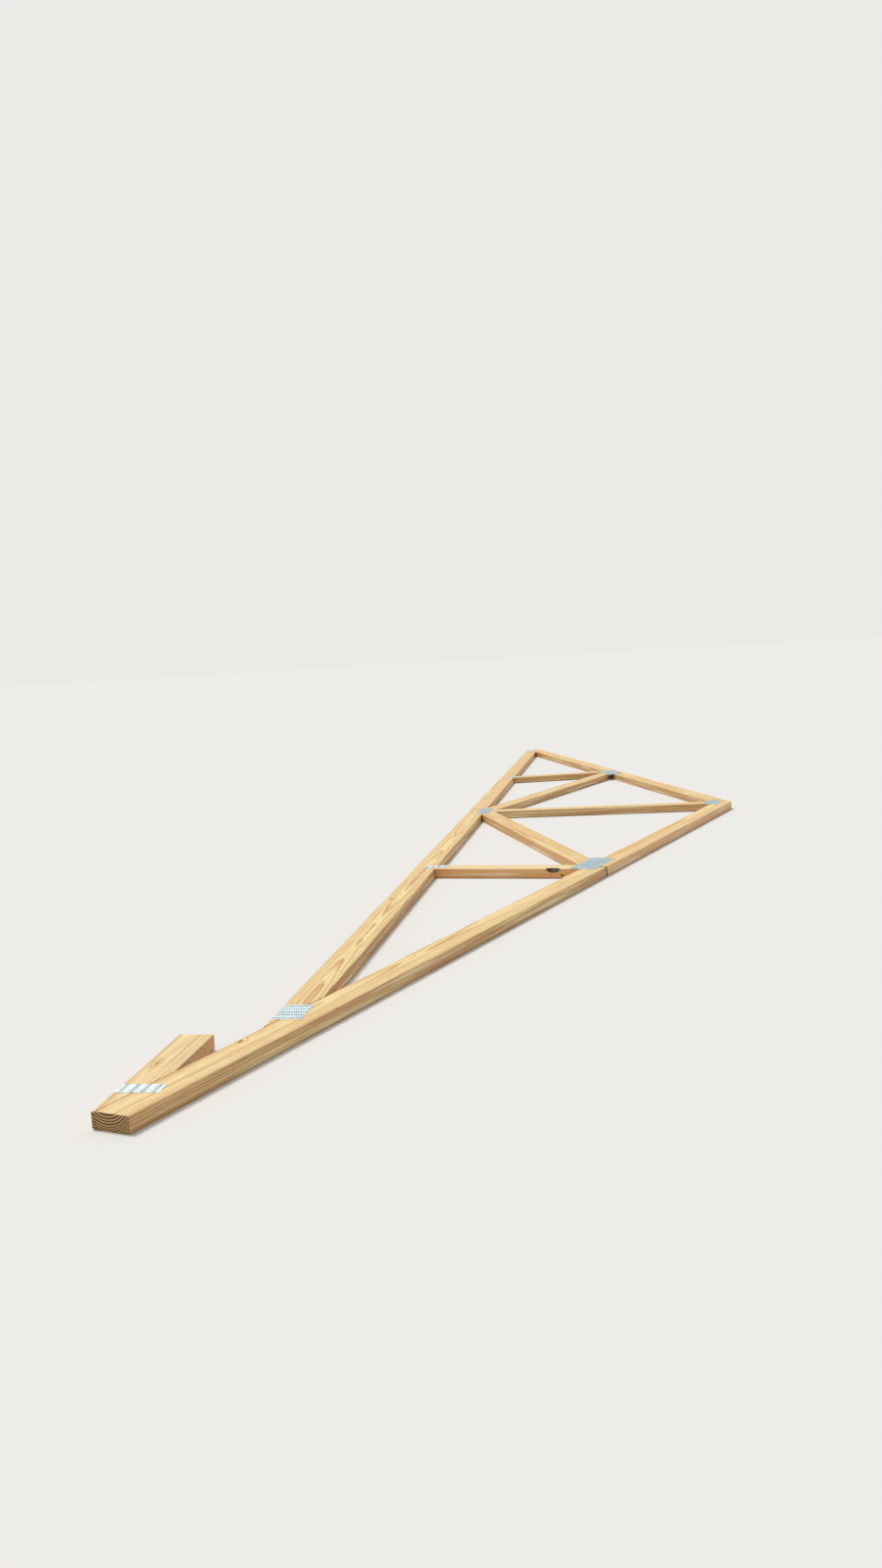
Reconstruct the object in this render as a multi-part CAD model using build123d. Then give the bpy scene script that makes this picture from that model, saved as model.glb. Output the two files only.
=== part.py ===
from build123d import *
import math
import os

# A gable roof truss of the Howe kind, lying flat as it does on its stack.
# X runs along the bottom chord, with the eave tail at +X. Y runs up to the ridge. Z is the thickness.
# Every board is a planed two-by-four, cut to seat on its neighbours and held by pressed nail plates.

# Lumber section, with the long edges eased at the mill
lumber_depth = 88.9
lumber_thickness = 38.1
edge_radius = 3.0

# Outline of the truss
span = 7924.8
rise_in_12 = 4.0
overhang = 600.0
heel_butt = 3.0

# Top chord splice, measured along the level from the heel to its top corner
splice_from_heel = 2095.0

# Webs: the foot of the upright web, how far it leans to the heel, and where the diagonal web's axis starts
web_foot_from_heel = 2217.0
web_lean = 9.8
diagonal_start_from_heel = 2172.0

# A knot that broke out of the near upright web's top outer edge: its place along the web, and its scoop
knot_hole_from_foot = 508.0
knot_hole_length = 50.0
knot_hole_depth = 10.0

# Open joints, as truss saws leave them: at every seat, and at the top chord splice
seat_gap = 1.5
splice_gap = 4.0

# Level soffit return under the tail
return_tip_height = 9.0
return_end_from_heel = 57.0

# Nail plates: steel, and the slots left by the punched teeth, at about twice their real pitch across
plate_thickness = 1.0
slot_length = 11.0
slot_width = 3.2
slot_pitch_along = 25.4
slot_pitch_across = 14.0

# Nail plate sizes, length along the slots by width
tail_plate_size = (101.6, 50.8)
heel_plate_size = (127.0, 76.2)
panel_plate_size = (254.0, 101.6)
ridge_plate_size = (152.4, 76.2)
foot_plate_size = (101.6, 50.8)
center_plate_size = (203.2, 76.2)

# Nail plate places, from the heel or along the joint that each one covers
tail_plate_from_heel = 438.0
heel_plate_from_heel = 122.0
heel_plate_height = 43.0
panel_plate_from_heel = 2183.0
panel_plate_rise = 8.0
ridge_plate_drop = 8.0

# Worked out from the sizes above
slope = rise_in_12 / 12.0
pitch_angle = math.degrees(math.atan(slope))
half_span = span / 2.0
plumb_depth = lumber_depth / math.cos(math.radians(pitch_angle))
tail_cut_level = lumber_depth * math.sin(math.radians(pitch_angle))
chord_run = (math.cos(math.radians(pitch_angle)), -math.sin(math.radians(pitch_angle)))
chord_up = (math.sin(math.radians(pitch_angle)), math.cos(math.radians(pitch_angle)))
lean = math.radians(web_lean)


def inner_edge(x):
    """Height of the top chord's inner edge at the distance x from the ridge line."""
    return heel_butt + slope * (half_span - abs(x))


apex_height = inner_edge(0.0) + plumb_depth
tail_inner_x = half_span + overhang - tail_cut_level
return_bottom = inner_edge(tail_inner_x) - return_tip_height

# The origin is the middle of the outline, on the floor
shift_x = -overhang / 2.0
shift_y = -(apex_height + return_bottom) / 2.0


def stock(start, end, side=0.0):
    """A length of eased lumber whose axis runs past both points, moved sideways by side."""
    run = Vector(end[0] - start[0], end[1] - start[1], 0.0)
    length = run.length
    run = run.normalized()
    across = Vector(-run.Y, run.X, 0.0)
    middle = Vector((start[0] + end[0]) / 2.0, (start[1] + end[1]) / 2.0, 0.0) + across * side
    middle = middle + Vector(0.0, 0.0, plate_thickness + lumber_thickness / 2.0)
    extra = 4.0 * lumber_depth
    section = Plane(origin=middle - run * (length / 2.0 + extra), x_dir=across, z_dir=run)
    outline = section * RectangleRounded(lumber_depth, lumber_thickness, edge_radius)
    return extrude(outline, amount=length + 2.0 * extra)


def saw(piece, point, keep, gap=0.0):
    """Cut the piece square through its thickness, gap short of point, on the side that keep points to."""
    normal = Vector(keep[0], keep[1], 0.0).normalized()
    cut = Plane(origin=Vector(point[0], point[1], 0.0) + normal * gap, z_dir=normal)
    return split(piece, bisect_by=cut, keep=Keep.TOP)


def other_side(piece):
    """The same piece on the other side of the ridge line."""
    return mirror(piece, about=Plane.YZ)


def top_chord_stock(from_x, to_x):
    """Stock for the near top chord, with its inner edge on the pitch line."""
    start = (from_x, inner_edge(0.0) - slope * from_x)
    end = (to_x, inner_edge(0.0) - slope * to_x)
    return stock(start, end, lumber_depth / 2.0)


def make_top_chords():
    """Tail and ridge lengths of the near chord, spliced square, and the far chord in one length."""
    splice_x = half_span - splice_from_heel
    splice = (splice_x, inner_edge(splice_x) + plumb_depth)
    tail_corner = (half_span + overhang, heel_butt - slope * overhang + plumb_depth)
    tail = top_chord_stock(splice_x, half_span + overhang)
    tail = saw(tail, tail_corner, (-chord_run[0], -chord_run[1]))
    tail = saw(tail, splice, chord_run, splice_gap / 2.0)
    ridge = top_chord_stock(0.0, splice_x)
    ridge = saw(ridge, splice, (-chord_run[0], -chord_run[1]), splice_gap / 2.0)
    ridge = saw(ridge, (0.0, 0.0), (1.0, 0.0), seat_gap / 2.0)
    far = top_chord_stock(0.0, half_span)
    far = saw(far, (0.0, 0.0), (1.0, 0.0), seat_gap / 2.0)
    far = saw(far, (half_span, 0.0), (-1.0, 0.0))
    return tail, ridge, other_side(far)


def under_top_chord(piece):
    """The piece cut to the slope of the near top chord's inner edge, just clear of it."""
    return saw(piece, (half_span, heel_butt), (-chord_up[0], -chord_up[1]), seat_gap)


def make_bottom_chord():
    """Near half of the bottom chord, from the centre splice to the scarf under the top chord."""
    half = stock((0.0, 0.0), (half_span, 0.0), lumber_depth / 2.0)
    half = saw(half, (0.0, 0.0), (1.0, 0.0), seat_gap / 2.0)
    half = saw(half, (half_span, 0.0), (-1.0, 0.0))
    return under_top_chord(half)


def make_king_post():
    """The post under the ridge, with both top corners cut to the chords."""
    post = stock((0.0, lumber_depth), (0.0, inner_edge(0.0)))
    post = saw(post, (0.0, lumber_depth), (0.0, 1.0), seat_gap)
    post = under_top_chord(post)
    return saw(post, (0.0, inner_edge(0.0)), (chord_up[0], -chord_up[1]), seat_gap)


def make_webs():
    """The near upright web and the near diagonal web that bears on it, the post and both chords."""
    foot = (half_span - web_foot_from_heel, lumber_depth)
    up = (math.sin(lean), math.cos(lean))
    head = (foot[0] + inner_edge(foot[0]) * up[0], foot[1] + inner_edge(foot[0]) * up[1])
    upright = stock(foot, head)
    upright = under_top_chord(saw(upright, foot, (0.0, 1.0), seat_gap))
    start_x = half_span - diagonal_start_from_heel
    diagonal = under_top_chord(stock((start_x, inner_edge(start_x)), (0.0, lumber_depth)))
    inner_face = (foot[0] - up[1] * lumber_depth / 2.0, foot[1] + up[0] * lumber_depth / 2.0)
    diagonal = saw(diagonal, inner_face, (-up[1], up[0]), seat_gap)
    diagonal = saw(diagonal, (0.0, lumber_depth), (0.0, 1.0), seat_gap)
    diagonal = saw(diagonal, (lumber_depth / 2.0, 0.0), (1.0, 0.0), seat_gap)
    return upright, diagonal


def without_knot(web):
    """The near upright web with a round scoop across its top outer edge, where a knot broke out."""
    run = Vector(math.sin(lean), math.cos(lean), 0.0)
    side = Vector(run.Y, -run.X, 0.0)
    edge = Vector(half_span - web_foot_from_heel, lumber_depth, plate_thickness + lumber_thickness)
    edge = edge + run * knot_hole_from_foot + side * (lumber_depth / 2.0)
    outward = Vector(side.X, side.Y, 1.0).normalized()
    across = Vector(side.X, side.Y, -1.0).normalized()
    radius = (knot_hole_length**2 / 4.0 + knot_hole_depth**2) / (2.0 * knot_hole_depth)
    scoop = Plane(origin=edge + outward * (radius - knot_hole_depth), z_dir=across)
    return web - scoop * Cylinder(radius, 4.0 * knot_hole_depth)


def make_soffit_return():
    """The level block under the tail, cut to a thin tip against the top chord's inner edge."""
    level = stock((half_span, return_bottom), (tail_inner_x, return_bottom), lumber_depth / 2.0)
    level = saw(level, (half_span + return_end_from_heel, 0.0), (1.0, 0.0))
    level = saw(level, (tail_inner_x, 0.0), (-1.0, 0.0))
    return under_top_chord(level)


def nail_plate(size, center, angle):
    """A punched plate lying on the floor plane, with its slots along its length."""
    rows = max(1, round(size[0] / slot_pitch_along))
    columns = max(1, round(size[1] / slot_pitch_across))
    slots = GridLocations(slot_pitch_along, slot_pitch_across, rows, columns)
    blank = Rectangle(size[0], size[1]) - slots * Rectangle(slot_length, slot_width)
    plate = extrude(blank, amount=plate_thickness)
    return Pos(center[0], center[1], 0.0) * Rot(0.0, 0.0, angle) * plate


def make_plates():
    """One under plate for every joint, by the name of the joint."""
    tail_x = half_span + tail_plate_from_heel
    heel_x = half_span - heel_plate_from_heel
    panel_x = half_span - panel_plate_from_heel
    panel = (panel_x + panel_plate_rise * chord_up[0], inner_edge(panel_x) + panel_plate_rise * chord_up[1])
    foot_x = half_span - web_foot_from_heel
    tail_y = heel_butt - slope * tail_plate_from_heel
    plates = {}
    plates["tail_plate"] = nail_plate(tail_plate_size, (tail_x, tail_y), 90.0)
    plates["near_heel_plate"] = nail_plate(heel_plate_size, (heel_x, heel_plate_height), 0.0)
    plates["near_panel_plate"] = nail_plate(panel_plate_size, panel, -pitch_angle)
    plates["near_foot_plate"] = nail_plate(foot_plate_size, (foot_x, lumber_depth), 90.0)
    plates["ridge_plate"] = nail_plate(ridge_plate_size, (0.0, inner_edge(0.0) - ridge_plate_drop), 0.0)
    plates["center_plate"] = nail_plate(center_plate_size, (0.0, lumber_depth), 0.0)
    for joint in ("heel", "panel", "foot"):
        plates[f"far_{joint}_plate"] = other_side(plates[f"near_{joint}_plate"])
    return plates


def make_pieces():
    """Every piece of the truss by name, before the origin is moved."""
    pieces = {}
    pieces["top_chord_tail"], pieces["top_chord_ridge"], pieces["top_chord_far"] = make_top_chords()
    pieces["bottom_chord_near"] = make_bottom_chord()
    pieces["bottom_chord_far"] = other_side(pieces["bottom_chord_near"])
    pieces["king_post"] = make_king_post()
    upright, pieces["diagonal_web_near"] = make_webs()
    pieces["upright_web_near"] = without_knot(upright)
    pieces["upright_web_far"] = other_side(upright)
    pieces["diagonal_web_far"] = other_side(pieces["diagonal_web_near"])
    pieces["soffit_return"] = make_soffit_return()
    for name, plate in make_plates().items():
        pieces[f"{name}_under"] = plate
        pieces[f"{name}_top"] = Pos(0.0, 0.0, plate_thickness + lumber_thickness) * plate
    return pieces


os.makedirs("parts", exist_ok=True)
for name, piece in make_pieces().items():
    export_step(Pos(shift_x, shift_y, 0.0) * piece, f"parts/{name}.step")
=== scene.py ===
import math

import bpy
import numpy as np
from mathutils import Euler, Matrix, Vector


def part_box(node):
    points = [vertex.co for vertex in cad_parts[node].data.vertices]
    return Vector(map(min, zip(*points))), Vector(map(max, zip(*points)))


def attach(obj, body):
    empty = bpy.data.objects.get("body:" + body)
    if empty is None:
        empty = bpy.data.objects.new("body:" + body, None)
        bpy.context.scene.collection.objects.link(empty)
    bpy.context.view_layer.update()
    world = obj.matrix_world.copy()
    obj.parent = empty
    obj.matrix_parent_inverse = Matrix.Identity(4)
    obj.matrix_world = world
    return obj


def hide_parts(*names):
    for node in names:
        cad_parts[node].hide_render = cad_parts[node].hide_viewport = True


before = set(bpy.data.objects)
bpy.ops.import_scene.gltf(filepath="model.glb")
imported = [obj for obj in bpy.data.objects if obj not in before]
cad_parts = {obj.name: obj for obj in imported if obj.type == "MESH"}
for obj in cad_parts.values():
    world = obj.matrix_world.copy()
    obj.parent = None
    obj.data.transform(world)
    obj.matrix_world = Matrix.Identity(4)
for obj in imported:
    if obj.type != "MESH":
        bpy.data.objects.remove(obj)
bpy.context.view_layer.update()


# Top chords.
# Planed southern pine two-by-fours, laid flat. The near chord is two lengths butted at a splice,
# with a square-cut eave tail, and the far chord is one length with a plumb cut at its flush heel.

def linear(code):
    """A colour written as an sRGB hex value, as the linear red, green, blue and alpha that shaders take."""
    values = [int(code[i:i + 2], 16) / 255 for i in (1, 3, 5)]
    return [v / 12.92 if v <= 0.04045 else ((v + 0.055) / 1.055) ** 2.4 for v in values] + [1.0]


def add(tree, kind, inputs, **settings):
    """Adds one node with its settings. A node given as an input is linked by its first live output."""
    node = tree.nodes.new(kind)
    for name, value in settings.items():
        setattr(node, name, value)
    for name, value in inputs.items():
        if isinstance(value, bpy.types.Node):
            value = next(output for output in value.outputs if output.enabled)
        if isinstance(value, bpy.types.NodeSocket):
            tree.links.new(value, node.inputs[name])
        else:
            node.inputs[name].default_value = value
    return node


def empty_material(name):
    """A material of that name and its node tree, with nothing in it."""
    material = bpy.data.materials.new(name)
    material.use_nodes = True
    material.node_tree.nodes.clear()
    return material, material.node_tree


def distance_from_pith(tree, here, pith, seed):
    """Distance in millimetres from the pith, a line that wanders by some 15 mm along the board.

    The wandering draws the long flames, and a ripple of 2 mm keeps the rings from being true circles.
    """
    slow = add(tree, "ShaderNodeVectorMath", {0: here, 1: (1 / 900, 1 / 300, 1 / 300), 2: (seed, seed, 0)},
               operation="MULTIPLY_ADD")
    wander = add(tree, "ShaderNodeTexNoise", {"Vector": slow, "Scale": 1.0, "Detail": 1.5})
    shift = add(tree, "ShaderNodeVectorMath", {
        0: wander.outputs["Color"], 1: (0, 28, 28), 2: (0, -14 - pith[0], -14 - pith[1])},
        operation="MULTIPLY_ADD")
    from_pith = add(tree, "ShaderNodeVectorMath", {0: here, 1: shift})
    flat = add(tree, "ShaderNodeVectorMath", {0: from_pith, 1: (0, 1, 1)}, operation="MULTIPLY")
    radius = add(tree, "ShaderNodeVectorMath", {0: flat}, operation="LENGTH")
    coarse = add(tree, "ShaderNodeVectorMath", {0: here, 1: (1 / 90, 1 / 16, 1 / 16)}, operation="MULTIPLY")
    ripple = add(tree, "ShaderNodeTexNoise", {"Vector": coarse, "Scale": 1.0, "Detail": 2.0})
    return add(tree, "ShaderNodeMath", {0: ripple, 1: 2.2, 2: radius}, operation="MULTIPLY_ADD")


def knots_in(tree, here, radius, knots):
    """The radius as the knots push the rings aside, and each knot's share and colour of the surface.

    A knot is an oval given by its place, its half sizes, its push in millimetres and its colour, with
    rough bark in it. One with no push is a plain dark patch, used for the painted shade at the splice.
    """
    broken = add(tree, "ShaderNodeVectorMath", {0: here, 1: (1 / 7, 1 / 4, 1 / 4)}, operation="MULTIPLY")
    bark = add(tree, "ShaderNodeTexNoise", {"Vector": broken, "Scale": 1.0, "Detail": 3.0})
    flake = add(tree, "ShaderNodeMapRange", {0: bark, 1: 0.48, 2: 0.68, 3: 0.0, 4: 0.6})
    hearts = []
    for at, half_size, push_mm, colour in knots:
        gap = add(tree, "ShaderNodeVectorMath", {0: here, 1: at}, operation="SUBTRACT")
        oval = add(tree, "ShaderNodeVectorMath", {0: gap, 1: half_size}, operation="DIVIDE")
        far = add(tree, "ShaderNodeVectorMath", {0: oval}, operation="LENGTH")
        push = add(tree, "ShaderNodeMapRange", {0: far, 1: 0.5, 2: 3.6, 3: push_mm, 4: 0.0},
                   interpolation_type="SMOOTHERSTEP")
        radius = add(tree, "ShaderNodeMath", {0: radius, 1: push})
        inside = add(tree, "ShaderNodeMapRange", {0: far, 1: 0.8, 2: 1.12, 3: 1.0, 4: 0.0},
                     interpolation_type="SMOOTHSTEP")
        heart = add(tree, "ShaderNodeMix", {0: flake, 6: linear(colour), 7: linear("#8a5a33")},
                    data_type="RGBA")
        hearts.append((inside, heart))
    return radius, hearts


def growth_rings(tree, radius, ring_mm, early, late):
    """How far along its ring each point is, and the ring's colour, a slow rise to brown and a sharp fall.

    Rings are ring_mm wide at 65 mm from the pith and narrower further out, as the tree slows: the count
    of rings goes with the square of the radius.
    """
    uneven = add(tree, "ShaderNodeTexNoise", {"W": radius, "Scale": 1 / 22, "Detail": 1.0},
                 noise_dimensions="1D")
    squared = add(tree, "ShaderNodeMath", {0: radius, 1: radius}, operation="MULTIPLY")
    count = add(tree, "ShaderNodeMath", {0: squared, 1: 0.5 / (65 * ring_mm), 2: uneven},
                operation="MULTIPLY_ADD")
    phase = add(tree, "ShaderNodeMath", {0: count}, operation="FRACT")
    rings = add(tree, "ShaderNodeValToRGB", {0: phase})
    ramp = rings.color_ramp
    ramp.elements[0].color = linear(early)
    ramp.elements[1].color = linear(early)
    for position, share in ((0.35, 0.08), (0.68, 0.50), (0.88, 1.0), (0.96, 0.7)):
        step = ramp.elements.new(position)
        step.color = [(1 - share) * a + share * b for a, b in zip(linear(early), linear(late))]
    return phase, rings


def fibres_and_streaks(tree, here, wood, seed):
    """The fibres' pattern, and the wood with it and with pink, cream and amber streaks and resin flecks."""
    # Fibres are drawn 1.2 mm wide, many times their real width, so that they show
    fine = add(tree, "ShaderNodeVectorMath", {0: here, 1: (1 / 150, 1 / 1.2, 1 / 1.2)}, operation="MULTIPLY")
    fibres = add(tree, "ShaderNodeTexNoise", {"Vector": fine, "Scale": 1.0, "Detail": 3.0, "Roughness": 0.65})
    tone = add(tree, "ShaderNodeMapRange", {0: fibres, 1: 0.3, 2: 0.7, 3: 0.88, 4: 1.08})
    wood = add(tree, "ShaderNodeVectorMath", {0: wood, "Scale": tone}, operation="SCALE")
    broad = add(tree, "ShaderNodeVectorMath", {0: here, 1: (1 / 330, 1 / 17, 1 / 17), 2: (seed, 0, seed)},
                operation="MULTIPLY_ADD")
    streaks = add(tree, "ShaderNodeTexNoise", {"Vector": broad, "Scale": 1.0, "Detail": 2.5})
    pink = add(tree, "ShaderNodeMapRange", {0: streaks, 1: 0.52, 2: 0.74, 3: 0.0, 4: 0.6})
    wood = add(tree, "ShaderNodeMix", {0: pink, 6: wood, 7: linear("#d99a5f")}, data_type="RGBA")
    cream = add(tree, "ShaderNodeMapRange", {0: streaks, 1: 0.26, 2: 0.46, 3: 0.55, 4: 0.0})
    wood = add(tree, "ShaderNodeMix", {0: cream, 6: wood, 7: linear("#f6e9b8")}, data_type="RGBA")
    patch = add(tree, "ShaderNodeVectorMath", {0: here, 1: (1 / 75, 1 / 12, 1 / 12), 2: (0, seed, seed)},
                operation="MULTIPLY_ADD")
    mottle = add(tree, "ShaderNodeTexNoise", {"Vector": patch, "Scale": 1.0, "Detail": 3.0})
    amber = add(tree, "ShaderNodeMapRange", {0: mottle, 1: 0.48, 2: 0.70, 3: 0.0, 4: 0.45})
    wood = add(tree, "ShaderNodeMix", {0: amber, 6: wood, 7: linear("#dba368")}, data_type="RGBA")

    # Resin flecks, short dark dashes along the grain
    dash = add(tree, "ShaderNodeVectorMath", {0: here, 1: (1 / 30, 1 / 1.6, 1 / 1.6)}, operation="MULTIPLY")
    flecks = add(tree, "ShaderNodeTexNoise", {"Vector": dash, "Scale": 1.0, "Detail": 0.0})
    resin = add(tree, "ShaderNodeMapRange", {0: flecks, 1: 0.70, 2: 0.80, 3: 0.0, 4: 0.55})
    wood = add(tree, "ShaderNodeMix", {0: resin, 6: wood, 7: linear("#8f5e33")}, data_type="RGBA")
    return fibres, wood


def broad_and_narrow_faces(tree, here, normal, phase, wood, seed, flank, tint):
    """The wood as each face shows it, told apart by how far the face's normal points up or down.

    The broad faces and the eased edges are painted a little paler, a painted highlight. A narrow face
    shows its rings as dark lines, under brown and pale bands as broad as 10 mm, partly the wood's own
    tone and partly painted warm light on sides that face away from the lamp. The brown is the tint, and
    the flank is its least share.
    """
    tilt = add(tree, "ShaderNodeSeparateXYZ", {0: normal})
    lift = add(tree, "ShaderNodeMath", {0: tilt.outputs["Z"]}, operation="ABSOLUTE")
    # Faces whose normal points steeply up or down, the broad faces and the eased edges, are painted paler: a
    # painted highlight
    highlight_mask = add(tree, "ShaderNodeMath", {0: lift, 1: 0.7, 2: 0.45}, operation="COMPARE")
    painted_highlight = add(tree, "ShaderNodeMath", {0: highlight_mask, 1: 0.16}, operation="MULTIPLY")
    wood = add(tree, "ShaderNodeMix", {0: painted_highlight, 6: wood, 7: linear("#f8e6bd")}, data_type="RGBA")

    # On the narrow faces the ring lines are grain, while the brown and pale bands are partly the wood's tone
    # and partly painted warm light on sides that face away from the lamp
    side = add(tree, "ShaderNodeMapRange", {0: lift, 1: 0.2, 2: 0.8, 3: 1.0, 4: 0.0})
    line = add(tree, "ShaderNodeMath", {0: phase, 1: 3.0}, operation="POWER")
    line = add(tree, "ShaderNodeMath", {0: line, 1: side}, operation="MULTIPLY")
    wood = add(tree, "ShaderNodeMix", {0: line, 6: wood, 7: linear("#935e2d")}, data_type="RGBA")
    run = add(tree, "ShaderNodeVectorMath", {0: here, 1: (1 / 500, 1 / 10, 1 / 10), 2: (seed, seed, 0)},
              operation="MULTIPLY_ADD")
    bands = add(tree, "ShaderNodeTexNoise", {"Vector": run, "Scale": 1.0, "Detail": 2.0})
    brown = add(tree, "ShaderNodeMapRange", {0: bands, 1: 0.50, 2: 0.62, 3: flank, 4: 0.85})
    brown = add(tree, "ShaderNodeMath", {0: brown, 1: side}, operation="MULTIPLY")
    wood = add(tree, "ShaderNodeMix", {0: brown, 6: wood, 7: linear(tint)}, data_type="RGBA")
    blond = add(tree, "ShaderNodeMapRange", {0: bands, 1: 0.34, 2: 0.47, 3: 0.75, 4: 0.0})
    blond = add(tree, "ShaderNodeMath", {0: blond, 1: side}, operation="MULTIPLY")
    return add(tree, "ShaderNodeMix", {0: blond, 6: wood, 7: linear("#f4e2b6")}, data_type="RGBA")


def cut_ends(tree, normal, angle, phase, wood):
    """The wood with its sawn ends, where open pores are dark and the rings stand out as arcs."""
    axis = (math.cos(math.radians(angle)), math.sin(math.radians(angle)), 0)
    facing = add(tree, "ShaderNodeVectorMath", {0: normal, 1: axis}, operation="DOT_PRODUCT")
    square = add(tree, "ShaderNodeMath", {0: facing}, operation="ABSOLUTE")
    end = add(tree, "ShaderNodeMapRange", {0: square, 1: 0.6, 2: 0.85, 3: 0.0, 4: 1.0})
    arc = add(tree, "ShaderNodeMapRange", {0: phase, 1: 0.32, 2: 0.74, 3: 0.0, 4: 1.0},
              interpolation_type="SMOOTHSTEP")
    grain = add(tree, "ShaderNodeMix", {0: arc, 6: linear("#cfa46b"), 7: linear("#432910")}, data_type="RGBA")
    return add(tree, "ShaderNodeMix", {0: end, 6: wood, 7: grain}, data_type="RGBA")


def sawn_pine(name, angle, pith, ring_mm, early, late, knots=(), seed=0.0, flank=0.15, tint="#c68f63"):
    """Planed southern pine, dry and dull, with its late wood a little proud.

    Growth rings are cylinders about a pith beside the board, from pale early wood to a brown late edge,
    so they show as fine lines or a long flame on the faces and as arcs on a cut end. The board's own
    axes are its length, width and thickness in millimetres from its middle, and its length is turned
    from X by the angle in degrees.
    """
    low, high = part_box(name)
    material, tree = empty_material("sawn_pine_" + name)
    place = add(tree, "ShaderNodeTexCoord", {})
    normal = place.outputs["Normal"]
    here = add(tree, "ShaderNodeMapping", {
        "Vector": place.outputs["Object"], "Location": [(a + b) / 2 for a, b in zip(low, high)],
        "Rotation": (0, 0, math.radians(angle)), "Scale": (0.001, 0.001, 0.001)}, vector_type="TEXTURE")
    radius = distance_from_pith(tree, here, pith, seed)
    radius, hearts = knots_in(tree, here, radius, knots)
    phase, wood = growth_rings(tree, radius, ring_mm, early, late)
    fibres, wood = fibres_and_streaks(tree, here, wood, seed)
    wood = broad_and_narrow_faces(tree, here, normal, phase, wood, seed, flank, tint)
    wood = cut_ends(tree, normal, angle, phase, wood)

    # Knots, and the painted shade at the splice, go over the faces and the cut ends alike
    for inside, heart in hearts:
        wood = add(tree, "ShaderNodeMix", {0: inside, 6: wood, 7: heart}, data_type="RGBA")

    height = add(tree, "ShaderNodeMath", {0: phase, 1: 0.5, 2: fibres}, operation="MULTIPLY_ADD")
    bump = add(tree, "ShaderNodeBump", {"Height": height, "Strength": 0.35, "Distance": 0.0004})
    dry = add(tree, "ShaderNodeMapRange", {0: fibres, 1: 0.3, 2: 0.7, 3: 0.48, 4: 0.66})
    shader = add(tree, "ShaderNodeBsdfPrincipled", {
        "Base Color": wood, "Roughness": dry, "Normal": bump, "IOR": 1.5, "Specular IOR Level": 0.35})
    add(tree, "ShaderNodeOutputMaterial", {"Surface": shader})
    return material


def finish_board(name, *look, **more):
    """Gives a board of the frame its own wood."""
    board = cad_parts[name]
    board.data.materials.clear()
    board.data.materials.append(sawn_pine(name, *look, **more))


# The roof's pitch in degrees, a rise of 4 in 12
pitch = math.degrees(math.atan(4 / 12))

# The two ends at the splice are painted dark for 6 mm, over the whole section: painted shade of the seam
splice_painted_shade = ((6, 90, 90), 0, "#452b17")

# A board's flank and tint set the brown bands on its narrow faces, which carry painted warm light as well as
# the wood's tone
finish_board("top_chord_tail", -pitch, (-18, 67), 6.2, "#f5dc9b", "#c68842",
             knots=(((935, -31, 19), (11, 6, 16), 9, "#a8693a"), ((-1420, 0, 0), *splice_painted_shade)), seed=1.3)
finish_board("top_chord_ridge", -pitch, (-24, 58), 5.4, "#f5db9a", "#cb8a44",
             knots=(((969, 0, 0), *splice_painted_shade),), seed=4.1, flank=0.35, tint="#efba92")
finish_board("top_chord_far", pitch, (10, -60), 5.2, "#f2d592", "#c88746",
             knots=(((-600, -10, 19), (14, 8, 30), 11, "#80502c"),), seed=7.7)


# Bottom chord.
# Two lengths of the same lumber, butted under the king post. Each is cut to a long slope at its heel,
# where it bears on the underside of the top chord.
finish_board("bottom_chord_near", 0, (4, -38), 5.0, "#f7df9d", "#c17f3b",
             knots=(((420, -20, 19), (12, 7, 24), 10, "#8f5a30"),), seed=2.9)
finish_board("bottom_chord_far", 0, (-40, 52), 5.4, "#f0d394", "#c88846", seed=9.2)


# King post and webs.
# Shorter lengths of the same lumber, cut square or bevelled to seat on the chords and on each other.
# The near upright web has a dark knot that broke out of its edge, and a small sound one beside it.

# How far an upright web leans to its heel, and how steeply a diagonal one rises, in degrees
lean = 9.8
diagonal_pitch = 19.6

finish_board("king_post", 90, (30, 40), 4.6, "#f4d99c", "#cf9450", seed=5.5)
# The broken knot is painted near black over its whole notch: dark knot wood, and painted shade for the depth
# of the hole
finish_board("upright_web_near", 90 - lean, (-8, 56), 4.8, "#fce8b2", "#dba45f",
             knots=(((188, -44, 19), (30, 17, 17), 13, "#24150c"), ((225, -45, -7), (6, 8, 5), 5, "#43281a")),
             seed=3.3, flank=0.4, tint="#eda05c")
finish_board("upright_web_far", 90 + lean, (22, -44), 5.2, "#f2d594", "#c98846", seed=6.4)
finish_board("diagonal_web_near", diagonal_pitch, (-26, 60), 5.0, "#efd190", "#c98a4b", seed=8.1,
             tint="#dca168")
finish_board("diagonal_web_far", -diagonal_pitch, (14, 50), 5.4, "#f0d394", "#c88846",
             knots=(((300, 6, 19), (12, 7, 24), 10, "#80502c"),), seed=0.7)


# Soffit return.
# A short level block of the same lumber under the eave tail, sawn to a thin tip where it meets the
# underside of the chord, and held there by the tail plates alone.
finish_board("soffit_return", 0, (-12, 48), 5.6, "#f4dfa8", "#c88c4a",
             knots=(((-45, -18, 19), (16, 5, 14), 12, "#c99b68"),), seed=4.8, flank=0.3, tint="#dca774")


# Nail plates.
# Galvanised steel sheet 1 mm thick, punched so that each slot leaves two teeth bent down from its ends.
# A press drives the teeth into both faces of every joint, which is all that holds the boards together.

# The sheet's thickness, then the spacing and the half size of its slots, along and across the plate,
# and how far the foot of a slot stays above the wood
sheet_mm = 1.0
slot_pitch_mm = (25.4, 6.35)
slot_half_mm = (5.4, 1.55)
slot_foot_mm = 0.08

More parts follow.
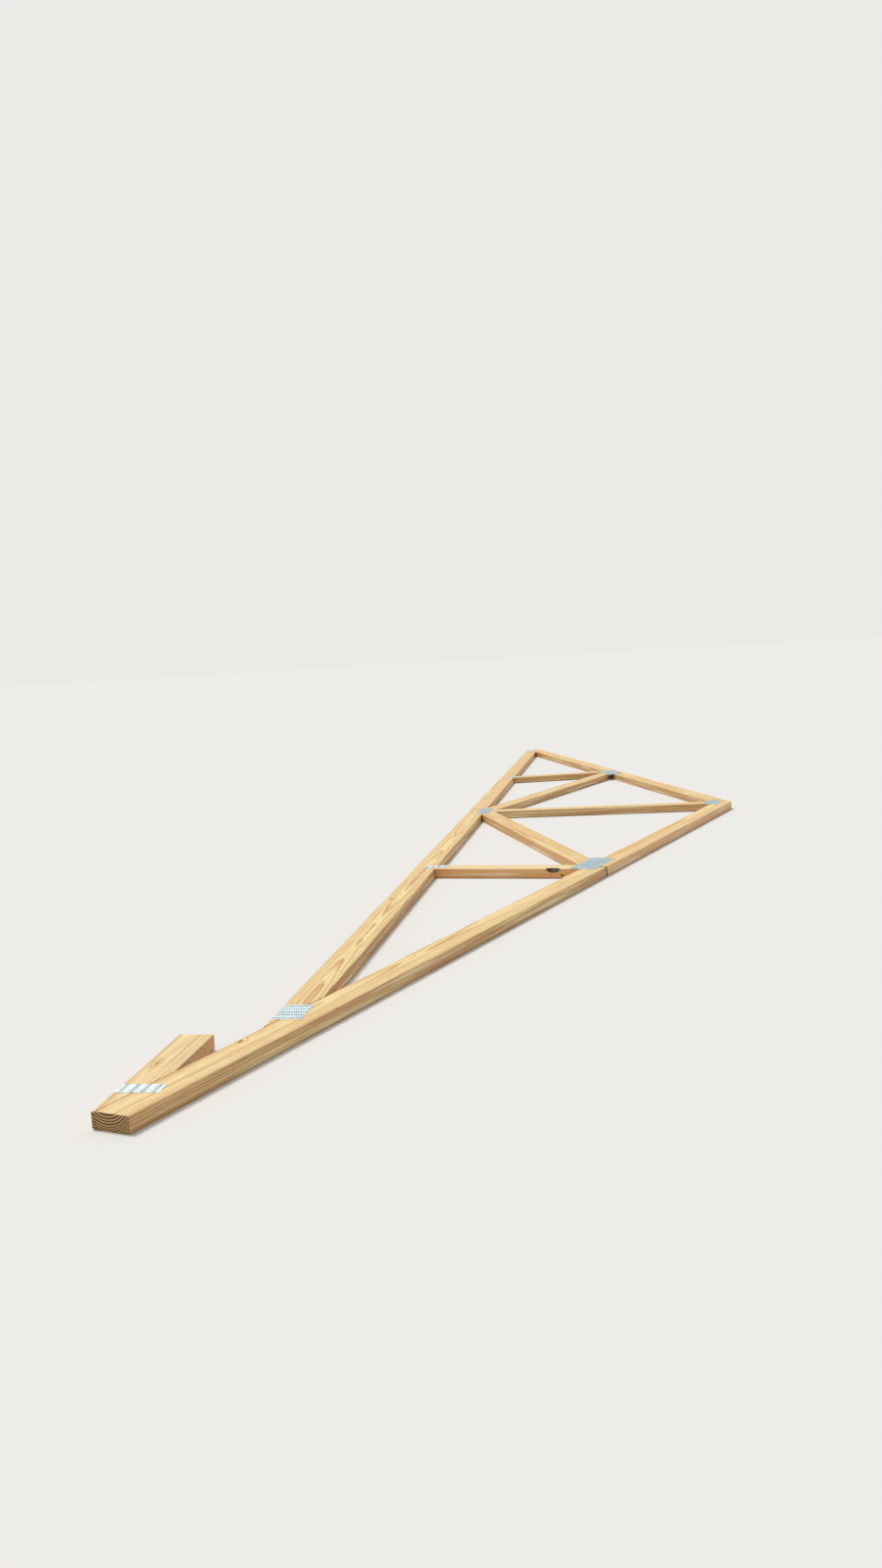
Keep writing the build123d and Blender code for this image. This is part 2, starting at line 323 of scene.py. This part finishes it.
# A tooth from its bend down to its point: its front and its back, each by its distance from the slot's
# middle and its height above the wood, and its half width
tooth_front_mm = ((5.75, 0.95), (4.7, 0.75), (4.3, -0.6), (4.6, -8.4))
tooth_back_mm = ((5.75, 0.0), (5.3, -1.2), (5.2, -1.6), (4.9, -8.4))
tooth_half_mm = (1.45, 1.45, 1.45, 0.3)


def galvanised_steel(tone, dark, light, worn):
    """Hot-dipped zinc on steel sheet: crystals 4 to 9 mm across, each its own grey, dulled in patches."""
    material, tree = empty_material(tone + "_galvanised_steel")
    place = add(tree, "ShaderNodeTexCoord", {})
    here = add(tree, "ShaderNodeVectorMath", {0: place.outputs["Object"], 1: (1000, 1000, 1000)},
               operation="MULTIPLY")
    crystals = add(tree, "ShaderNodeTexVoronoi", {"Vector": here, "Scale": 1 / 6.0, "Randomness": 1.0})
    patches = add(tree, "ShaderNodeTexNoise", {"Vector": here, "Scale": 1 / 35, "Detail": 4.0})
    zinc = add(tree, "ShaderNodeMix", {0: crystals.outputs["Color"], 6: linear(dark), 7: linear(light)},
               data_type="RGBA")
    dull = add(tree, "ShaderNodeMapRange", {0: patches, 1: 0.48, 2: 0.72, 3: 0.0, 4: 0.5})
    zinc = add(tree, "ShaderNodeMix", {0: dull, 6: zinc, 7: linear(worn)}, data_type="RGBA")
    shine = add(tree, "ShaderNodeMapRange", {0: crystals.outputs["Color"], 1: 0.0, 2: 1.0, 3: 0.58, 4: 0.74})
    scratch = add(tree, "ShaderNodeTexNoise", {"Vector": here, "Scale": 0.8, "Detail": 3.0})
    bump = add(tree, "ShaderNodeBump", {"Height": scratch, "Strength": 0.15, "Distance": 0.0002})
    shader = add(tree, "ShaderNodeBsdfPrincipled", {
        "Base Color": zinc, "Metallic": 0.6, "Roughness": shine, "Normal": bump,
        "Specular Tint": linear("#8199a6")})
    add(tree, "ShaderNodeOutputMaterial", {"Surface": shader})
    return material


def painted_slot_shade():
    """Painted shade at the foot of each slot: a speckled dark blue grey that stands for the shade inside the
    slot.
    """
    material, tree = empty_material("painted_slot_shade")
    place = add(tree, "ShaderNodeTexCoord", {})
    speckle = add(tree, "ShaderNodeTexNoise", {"Vector": place.outputs["Object"], "Scale": 900.0, "Detail": 2.0})
    # The dark blue grey is painted shade
    wood = add(tree, "ShaderNodeMix", {0: speckle, 6: linear("#2c343a"), 7: linear("#67727a")}, data_type="RGBA")
    bump = add(tree, "ShaderNodeBump", {"Height": speckle, "Strength": 0.6, "Distance": 0.0003})
    rough = add(tree, "ShaderNodeMapRange", {0: speckle, 1: 0.3, 2: 0.7, 3: 0.8, 4: 0.95})
    shader = add(tree, "ShaderNodeBsdfPrincipled", {"Base Color": wood, "Roughness": rough, "Normal": bump})
    add(tree, "ShaderNodeOutputMaterial", {"Surface": shader})
    return material


def slotted_sheet(length, width):
    """Vertices, quads and slot-foot quads of the sheet, and the middles of its slots.

    Along each axis the grid lines fall on the slot edges and halfway between slots. The grid is laid at
    the upper face and at the lower one, walls join the two round the rim, and each slot's quad is sunk
    to the wood, with walls of its own down to it.
    """
    marks = []
    for size, step, half in zip((length, width), slot_pitch_mm, slot_half_mm):
        count = round(size / step)
        middles = (np.arange(count) - (count - 1) / 2) * step
        marks.append(np.append((middles[:, None] + [-step / 2, -half, half]).ravel(), size / 2))
    nx, ny = len(marks[0]), len(marks[1])
    x, y = np.meshgrid(*marks, indexing="ij")
    flat = np.stack([x.ravel(), y.ravel(), np.zeros(nx * ny)], 1)
    i, j = np.meshgrid(np.arange(nx - 1), np.arange(ny - 1), indexing="ij")
    slot = (i % 3 == 1) & (j % 3 == 1)
    here = i * ny + j
    loops = np.stack([here, here + ny, here + ny + 1, here + 1], -1)
    mouths = loops[slot]
    feet = 2 * nx * ny + np.arange(mouths.size).reshape(-1, 4)
    verts = np.concatenate([flat + [0, 0, sheet_mm], flat, flat[mouths.ravel()] + [0, 0, slot_foot_mm]])
    quads = [loops[~slot], loops.reshape(-1, 4)[:, ::-1] + nx * ny]
    for a, b in ((0, 1), (1, 2), (2, 3), (3, 0)):
        quads.append(np.stack([mouths[:, a], mouths[:, b], feet[:, b], feet[:, a]], 1))
    rims = ((loops[0, :, 3], loops[0, :, 0]), (loops[-1, :, 1], loops[-1, :, 2]),
            (loops[:, 0, 0], loops[:, 0, 1]), (loops[:, -1, 2], loops[:, -1, 3]))
    for a, b in rims:
        quads.append(np.stack([b, a, a + nx * ny, b + nx * ny], 1))
    middles = (flat[mouths[:, 0]] + flat[mouths[:, 2]]) / 2
    return verts, np.concatenate(quads), feet, middles


def teeth_at(middles):
    """Vertices and quads of the teeth: one bent strip, tapered to a point, at both ends of every slot.

    A tooth is a four-cornered section carried down its front and back lines. Its twin at the slot's
    other end is the same one turned half round.
    """
    front, back, half = np.array(tooth_front_mm), np.array(tooth_back_mm), np.array(tooth_half_mm)
    corners = ((front, -1), (front, 1), (back, 1), (back, -1))
    ring = np.stack([np.stack([line[:, 0], edge * half, line[:, 1]], 1) for line, edge in corners], 1)
    one = ring.reshape(-1, 3)
    k = np.arange(len(ring) - 1)[:, None] * 4
    quads = [np.stack([k + a, k + b, k + b + 4, k + a + 4], -1).reshape(-1, 4)
             for a, b in ((0, 1), (1, 2), (2, 3), (3, 0))]
    last = len(one) - 4
    quads = np.concatenate(quads + [np.array([[3, 2, 1, 0], [last, last + 1, last + 2, last + 3]])])
    pair = np.concatenate([one, one * [-1, -1, 1]])
    pair_quads = np.concatenate([quads, quads + len(one)])
    verts = (middles[:, None] + pair).reshape(-1, 3)
    faces = (pair_quads + np.arange(len(middles))[:, None, None] * len(pair)).reshape(-1, 4)
    return verts, faces


def punched_plate(node, size, angle, zinc, wood):
    """A toothed plate in the place of a plain one of the frame, turned over where it is an under plate."""
    verts, quads, feet, middles = slotted_sheet(*size)
    teeth, tooth_quads = teeth_at(middles)
    quads = np.concatenate([quads, tooth_quads + len(verts), feet])
    verts = np.concatenate([verts, teeth])
    low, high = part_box(node)
    base = low[2]
    if node.endswith("under"):
        verts = verts * [1, -1, -1]
        base = high[2]
    turn = math.radians(angle)
    spin = np.array([[math.cos(turn), math.sin(turn), 0], [-math.sin(turn), math.cos(turn), 0], [0, 0, 1]])
    verts = verts @ spin / 1000 + [(low[0] + high[0]) / 2, (low[1] + high[1]) / 2, base]
    mesh = bpy.data.meshes.new(node + "_toothed")
    mesh.from_pydata(verts.tolist(), [], quads.tolist())
    mesh.materials.append(zinc)
    mesh.materials.append(wood)
    # The slots' feet take the second material, the painted shade in each slot
    part = np.zeros(len(quads), np.int32)
    part[-len(feet):] = 1
    mesh.polygons.foreach_set("material_index", part)
    plate = bpy.data.objects.new(node + "_toothed", mesh)
    bpy.context.collection.objects.link(plate)
    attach(plate, "root")
    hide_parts(node)


# Lit and shaded copies of one zinc: the tail plates nearly white, a painted glint, the heel and foot
# plates a pale blue grey, and the large plates duller, painted shade
bright_glint = galvanised_steel("bright_glint", "#cbdadf", "#f0f8f9", "#b9c7cd")
plain = galvanised_steel("plain", "#bed2db", "#eaf4f6", "#abbbc2")
dim_shade = galvanised_steel("dim_shade", "#a3b9c3", "#d1e0e4", "#95a4ab")
slot_shade_paint = painted_slot_shade()

# Each joint's plate: its length along the slots and its width in millimetres, how far its length is
# turned from X in degrees, and its zinc
joint_plates = {
    "tail": (101.6, 50.8, 90, bright_glint),
    "near_heel": (127.0, 76.2, 0, plain),
    "far_heel": (127.0, 76.2, 0, plain),
    "near_panel": (254.0, 101.6, -pitch, dim_shade),
    "far_panel": (254.0, 101.6, pitch, dim_shade),
    "near_foot": (101.6, 50.8, 90, plain),
    "far_foot": (101.6, 50.8, 90, plain),
    "ridge": (152.4, 76.2, 0, dim_shade),
    "center": (203.2, 76.2, 0, dim_shade)}
for joint, (length, width, angle, zinc) in joint_plates.items():
    for face in ("under", "top"):
        punched_plate(f"{joint}_plate_{face}", (length, width), angle, zinc, slot_shade_paint)


# Stage.
# A plain pale floor, one soft high light and an even sky. The floor lies half a millimetre under the
# plates that the truss rests on, so that no two faces fall in one plane.
reach, drop = 90, -0.0005
floor_mesh = bpy.data.meshes.new("floor")
floor_mesh.from_pydata([(-reach, -reach, drop), (reach, -reach, drop), (reach, reach, drop),
                        (-reach, reach, drop)], [], [(0, 1, 2, 3)])
floor = bpy.data.objects.new("floor", floor_mesh)
bpy.context.collection.objects.link(floor)
floor_paint, floor_tree = empty_material("pale_floor")
matt = add(floor_tree, "ShaderNodeBsdfPrincipled", {
    "Base Color": linear("#ebebeb"), "Roughness": 1.0, "Specular IOR Level": 0.0})
add(floor_tree, "ShaderNodeOutputMaterial", {"Surface": matt})
floor_mesh.materials.append(floor_paint)

# The sky lights the truss gently, and what the eye or a reflection sees of it is a pale white
world = bpy.data.worlds.new("even_sky")
bpy.context.scene.world = world
world.use_nodes = True
sky = world.node_tree
sky.nodes.clear()
ray = add(sky, "ShaderNodeLightPath", {}).outputs
seen = add(sky, "ShaderNodeMath", {0: ray["Is Camera Ray"], 1: ray["Is Glossy Ray"]}, operation="MAXIMUM")
seen = add(sky, "ShaderNodeMath", {0: seen, 1: ray["Is Transmission Ray"]}, operation="MAXIMUM")
fill = add(sky, "ShaderNodeBackground", {"Color": linear("#fffdf8"), "Strength": 0.46})
white = add(sky, "ShaderNodeBackground", {"Color": linear("#ebeae7"), "Strength": 1.0})
either = add(sky, "ShaderNodeMixShader", {0: seen, 1: fill, 2: white})
add(sky, "ShaderNodeOutputWorld", {"Surface": either})

lamp = bpy.data.lights.new("high_lamp", "SUN")
lamp.energy = 1.95
lamp.angle = math.radians(20)
lamp.color = (1.0, 0.985, 0.96)
high_lamp = bpy.data.objects.new("high_lamp", lamp)
high_lamp.rotation_euler = Vector((-0.22, -0.32, 0.92)).to_track_quat("Z", "Y").to_euler()
bpy.context.collection.objects.link(high_lamp)

# Camera, at the height and turn worked out from the boards' edges in the photograph
eye = bpy.data.cameras.new("eye")
eye.sensor_width = 36
eye.lens = 29.323
eye.clip_end = 300
camera = bpy.data.objects.new("eye", eye)
camera.location = (6.6224, 0.3325, 0.9381)
camera.rotation_euler = Euler([math.radians(a) for a in (83.963, 3.3211, 98.5752)], "XYZ")
bpy.context.collection.objects.link(camera)
bpy.context.scene.camera = camera
bpy.context.scene.view_settings.view_transform = "Standard"
